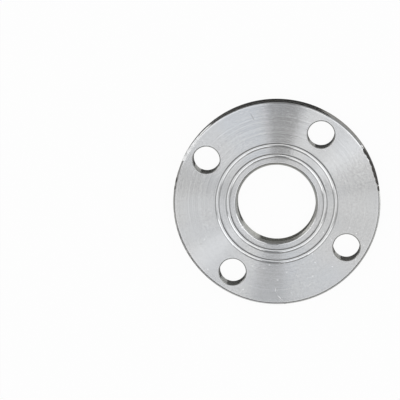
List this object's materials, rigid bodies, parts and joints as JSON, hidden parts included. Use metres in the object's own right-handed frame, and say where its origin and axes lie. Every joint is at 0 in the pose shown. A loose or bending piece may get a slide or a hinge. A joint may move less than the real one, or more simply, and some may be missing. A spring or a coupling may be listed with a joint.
{
  "type": "slip on flange",
  "caption": "Flat round steel ring that slips over a pipe end to be welded on, with bolt holes near its rim and shallow round-bottomed sealing grooves around its bore.",
  "frame": {"origin": "on the bore's axis, in the plane of the back face that the flange lies on", "axes": "+Z along the bore from the back face to the grooved sealing face; +X and +Y run midway between neighbouring bolt holes"},
  "size_m": [0.1124, 0.1124, 0.01],
  "materials": {
    "turned_steel": "bare steel, faced and turned, with fine ring marks"
  },
  "bodies": {
    "root": {"flange": "turned_steel"}
  },
  "joints": []
}
